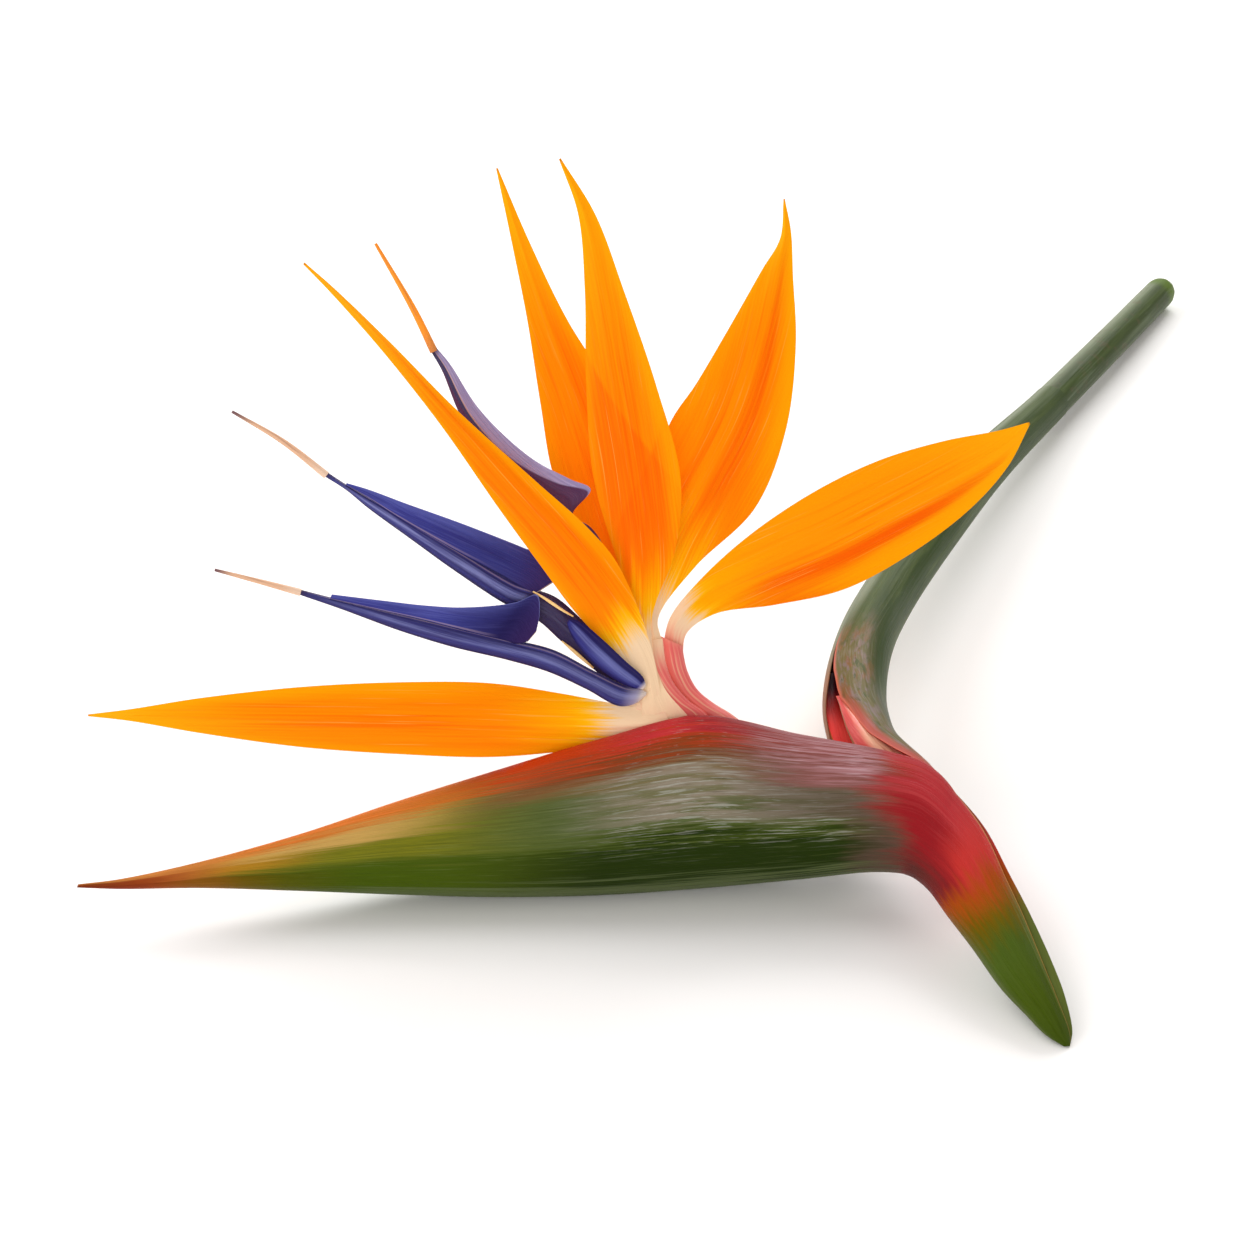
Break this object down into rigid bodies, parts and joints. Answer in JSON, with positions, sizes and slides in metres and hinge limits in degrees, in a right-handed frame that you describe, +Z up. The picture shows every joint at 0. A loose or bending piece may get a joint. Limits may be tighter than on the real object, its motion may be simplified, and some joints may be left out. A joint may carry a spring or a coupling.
{
  "type": "bird of paradise flower",
  "caption": "Cut bird of paradise flower lying down: beaked green and red spathe with orange sepals, blue arrow petals and thin styles, on a bent sheathed stem.",
  "frame": {"origin": "middle of the footprint's bounding box, on the surface that the flower lies on", "axes": "+Z up; +X from the spathe's tip towards its knee, as the flower is seen from the front; +Y away from the viewer, towards the stem's cut end"},
  "size_m": [0.2932, 0.3768, 0.1377],
  "materials": {
    "stem": "matt dark green plant stem with a thin waxy bloom and purple-brown mottling",
    "lower_bract": "satin red bract that turns olive and green towards its tip",
    "spathe": "satin green bract with a red upper edge and a grey-violet waxy bloom",
    "cream_base": "smooth cream flower base",
    "pink_base": "smooth pink flower base",
    "sepal": "silky orange sepal with fine lengthwise veins and a cream root",
    "blue_petal": "velvety blue-violet petal",
    "style": "smooth pale tan style with a dark tip"
  },
  "bodies": {
    "root": {"stem": "stem", "lower_bract": "lower_bract", "spathe": "spathe", "front_flower_base": "cream_base", "back_flower_base": "pink_base", "sepal_tall": "sepal", "sepal_back": "sepal", "sepal_right": "sepal", "sepal_far_right": "sepal", "sepal_diagonal": "sepal", "sepal_left": "sepal", "blue_arrow_middle": "blue_petal", "blue_arrow_low": "blue_petal", "blue_arrow_high": "blue_petal", "nectary_petal": "blue_petal", "style_middle": "style", "style_low": "style", "style_high": "style"}
  },
  "joints": []
}
